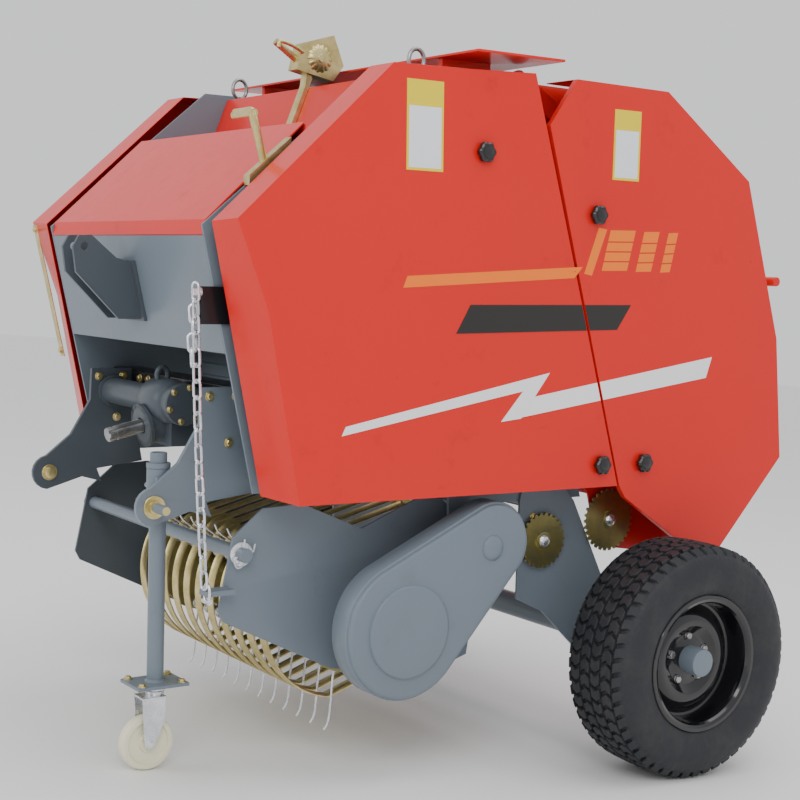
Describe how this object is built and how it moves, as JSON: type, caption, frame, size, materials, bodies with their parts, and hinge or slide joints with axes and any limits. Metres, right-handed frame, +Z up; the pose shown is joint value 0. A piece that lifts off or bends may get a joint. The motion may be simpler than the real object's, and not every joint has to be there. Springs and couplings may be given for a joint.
{
  "type": "mini round baler",
  "caption": "Tractor-mounted mini round baler: steel roller chamber with hinged tailgate, tined pickup, three-point hitch, PTO gearbox, two wheels and a castor jack.",
  "frame": {"origin": "middle of the footprint box, on the floor", "axes": "+X to the machine's left, -Y to the front (tractor end), +Z up"},
  "size_m": [1.61, 1.7758, 1.7366],
  "materials": {
    "red_paint": "gloss red enamel",
    "grey_paint": "blue-grey enamel",
    "black_paint": "black enamel",
    "rim_black": "gloss black enamel",
    "yellow_zinc": "yellow passivated zinc",
    "white_zinc": "bright zinc",
    "bare_steel": "machined steel",
    "tyre_rubber": "black rubber",
    "cream_nylon": "cream nylon"
  },
  "bodies": {
    "frame": {"axle_beam": "grey_paint", "bridge_plate": "red_paint", "chain_bracket": "black_paint", "crank_handle": "yellow_zinc", "front_beam": "grey_paint", "front_cover_left": "red_paint", "front_cover_right": "red_paint", "gearbox": "grey_paint", "hitch_plate_left": "grey_paint", "hitch_plate_right": "grey_paint", "jack_sleeve": "grey_paint", "latch_strap": "white_zinc", "lift_chain": "white_zinc", "lower_cross_beam": "grey_paint", "pickup_hanger_left": "grey_paint", "pickup_hanger_right": "grey_paint", "ratchet_tensioner": "yellow_zinc", "side_plate_left": "red_paint", "side_plate_right": "red_paint", "top_link_clevis": "grey_paint", "twine_box_hood": "red_paint", "twine_box_tray": "red_paint"},
    "tailgate": {"gate_beam_lower": "red_paint", "gate_beam_upper": "red_paint", "gate_bumper": "red_paint", "gate_cover_left": "red_paint", "gate_cover_right": "red_paint", "gate_side_left": "red_paint", "gate_side_right": "red_paint"},
    "pickup": {"pickup_side_left": "grey_paint", "pickup_side_right": "grey_paint", "pickup_bands": "yellow_zinc", "guard_bar": "grey_paint", "chain_case": "grey_paint"},
    "pickup_reel": {"pickup_reel": "yellow_zinc"},
    "pto_shaft": {"pto_shaft": "bare_steel"},
    "jack_leg": {"jack_leg": "grey_paint"},
    "castor_fork": {"castor_fork": "white_zinc"},
    "castor_wheel": {"castor_wheel": "cream_nylon"},
    "wheel_left": {"tyre_left": "tyre_rubber", "rim_left": "rim_black"},
    "wheel_right": {"tyre_right": "tyre_rubber", "rim_right": "rim_black"},
    "drive_sprocket": {"drive_sprocket": "yellow_zinc"},
    "gate_sprocket": {"gate_sprocket": "yellow_zinc"},
    "front_roller_1": {"front_roller_1": "grey_paint"},
    "front_roller_2": {"front_roller_2": "grey_paint"},
    "front_roller_3": {"front_roller_3": "grey_paint"},
    "front_roller_4": {"front_roller_4": "grey_paint"},
    "front_roller_5": {"front_roller_5": "grey_paint"},
    "front_roller_6": {"front_roller_6": "grey_paint"},
    "front_roller_7": {"front_roller_7": "grey_paint"},
    "gate_roller_1": {"gate_roller_1": "grey_paint"},
    "gate_roller_2": {"gate_roller_2": "grey_paint"},
    "gate_roller_3": {"gate_roller_3": "grey_paint"},
    "gate_roller_4": {"gate_roller_4": "grey_paint"},
    "gate_roller_5": {"gate_roller_5": "grey_paint"},
    "gate_roller_6": {"gate_roller_6": "grey_paint"}
  },
  "joints": [
    {"name": "tailgate_hinge", "type": "hinge", "parent": "frame", "child": "tailgate", "pos_m": [0, 0.03518, 1.62646], "axis": [1, 0, 0], "range_deg": [0, 45]},
    {"name": "pickup_lift", "type": "hinge", "parent": "frame", "child": "pickup", "pos_m": [0, -0.02545, 0.54339], "axis": [-1, 0, 0], "range_deg": [0, 8], "deforming": ["lift_chain"]},
    {"name": "reel_spin", "type": "hinge", "parent": "pickup", "child": "pickup_reel", "pos_m": [0, -0.28626, 0.35353], "axis": [1, 0, 0], "continuous": true},
    {"name": "wheel_left_spin", "type": "hinge", "parent": "frame", "child": "wheel_left", "pos_m": [0.699, 0.45684, 0.2829], "axis": [1, 0, 0], "continuous": true},
    {"name": "wheel_right_spin", "type": "hinge", "parent": "frame", "child": "wheel_right", "pos_m": [-0.699, 0.45684, 0.2829], "axis": [1, 0, 0], "continuous": true},
    {"name": "jack_slide", "type": "slide", "parent": "frame", "child": "jack_leg", "axis": [0, -0.0558, 0.9984], "range_m": [0, 0.25]},
    {"name": "castor_swivel", "type": "hinge", "parent": "jack_leg", "child": "castor_fork", "pos_m": [0.268, -0.72292, 0.19182], "axis": [0, -0.0558, 0.9984], "continuous": true},
    {"name": "castor_spin", "type": "hinge", "parent": "castor_fork", "child": "castor_wheel", "pos_m": [0.268, -0.73571, 0.0624], "axis": [1, 0, 0], "continuous": true},
    {"name": "front_roller_1_spin", "type": "hinge", "parent": "frame", "child": "front_roller_1", "pos_m": [0, -0.06918, 1.42246], "axis": [1, 0, 0], "continuous": true},
    {"name": "front_roller_2_spin", "type": "hinge", "parent": "frame", "child": "front_roller_2", "pos_m": [0, -0.19544, 1.33005], "axis": [1, 0, 0], "continuous": true},
    {"name": "front_roller_3_spin", "type": "hinge", "parent": "frame", "child": "front_roller_3", "pos_m": [0, -0.27789, 1.19708], "axis": [1, 0, 0], "continuous": true},
    {"name": "front_roller_4_spin", "type": "hinge", "parent": "frame", "child": "front_roller_4", "pos_m": [0, -0.30452, 1.0429], "axis": [1, 0, 0], "continuous": true},
    {"name": "front_roller_5_spin", "type": "hinge", "parent": "frame", "child": "front_roller_5", "pos_m": [0, -0.27146, 0.88997], "axis": [1, 0, 0], "continuous": true},
    {"name": "front_roller_6_spin", "type": "hinge", "parent": "frame", "child": "front_roller_6", "pos_m": [0, 0.05684, 0.64437], "axis": [1, 0, 0], "continuous": true},
    {"name": "front_roller_7_spin", "type": "hinge", "parent": "frame", "child": "front_roller_7", "pos_m": [0, 0.21977, 0.65776], "axis": [1, 0, 0], "continuous": true},
    {"name": "gate_roller_1_spin", "type": "hinge", "parent": "tailgate", "child": "gate_roller_1", "pos_m": [0, 0.38605, 0.7526], "axis": [1, 0, 0], "continuous": true},
    {"name": "gate_roller_2_spin", "type": "hinge", "parent": "tailgate", "child": "gate_roller_2", "pos_m": [0, 0.48335, 0.8926], "axis": [1, 0, 0], "continuous": true},
    {"name": "gate_roller_3_spin", "type": "hinge", "parent": "tailgate", "child": "gate_roller_3", "pos_m": [0, 0.5153, 1.06007], "axis": [1, 0, 0], "continuous": true},
    {"name": "gate_roller_4_spin", "type": "hinge", "parent": "tailgate", "child": "gate_roller_4", "pos_m": [0, 0.47637, 1.22605], "axis": [1, 0, 0], "continuous": true},
    {"name": "gate_roller_5_spin", "type": "hinge", "parent": "tailgate", "child": "gate_roller_5", "pos_m": [0, 0.37329, 1.36185], "axis": [1, 0, 0], "continuous": true},
    {"name": "gate_roller_6_spin", "type": "hinge", "parent": "tailgate", "child": "gate_roller_6", "pos_m": [0, 0.23752, 1.43961], "axis": [1, 0, 0], "continuous": true},
    {"name": "drive_sprocket_spin", "type": "hinge", "parent": "frame", "child": "drive_sprocket", "pos_m": [0.449, 0.21174, 0.5286], "axis": [1, 0, 0], "continuous": true},
    {"name": "gate_sprocket_spin", "type": "hinge", "parent": "tailgate", "child": "gate_sprocket", "pos_m": [0.449, 0.42229, 0.57844], "axis": [1, 0, 0], "continuous": true},
    {"name": "pto_spin", "type": "hinge", "parent": "frame", "child": "pto_shaft", "pos_m": [0, -0.63932, 0.75675], "axis": [0, -0.9603, -0.279], "continuous": true}
  ],
  "couplings": [
    {"joint": "front_roller_2_spin", "follows": "front_roller_1_spin", "ratio": 1},
    {"joint": "front_roller_3_spin", "follows": "front_roller_1_spin", "ratio": 1},
    {"joint": "front_roller_4_spin", "follows": "front_roller_1_spin", "ratio": 1},
    {"joint": "front_roller_5_spin", "follows": "front_roller_1_spin", "ratio": 1},
    {"joint": "front_roller_6_spin", "follows": "front_roller_1_spin", "ratio": 1},
    {"joint": "front_roller_7_spin", "follows": "front_roller_1_spin", "ratio": 1},
    {"joint": "gate_roller_1_spin", "follows": "front_roller_1_spin", "ratio": 1},
    {"joint": "gate_roller_2_spin", "follows": "front_roller_1_spin", "ratio": 1},
    {"joint": "gate_roller_3_spin", "follows": "front_roller_1_spin", "ratio": 1},
    {"joint": "gate_roller_4_spin", "follows": "front_roller_1_spin", "ratio": 1},
    {"joint": "gate_roller_5_spin", "follows": "front_roller_1_spin", "ratio": 1},
    {"joint": "gate_roller_6_spin", "follows": "front_roller_1_spin", "ratio": 1},
    {"joint": "drive_sprocket_spin", "follows": "front_roller_1_spin", "ratio": 1},
    {"joint": "gate_sprocket_spin", "follows": "front_roller_1_spin", "ratio": 1},
    {"joint": "pto_spin", "follows": "front_roller_1_spin", "ratio": 3}
  ]
}
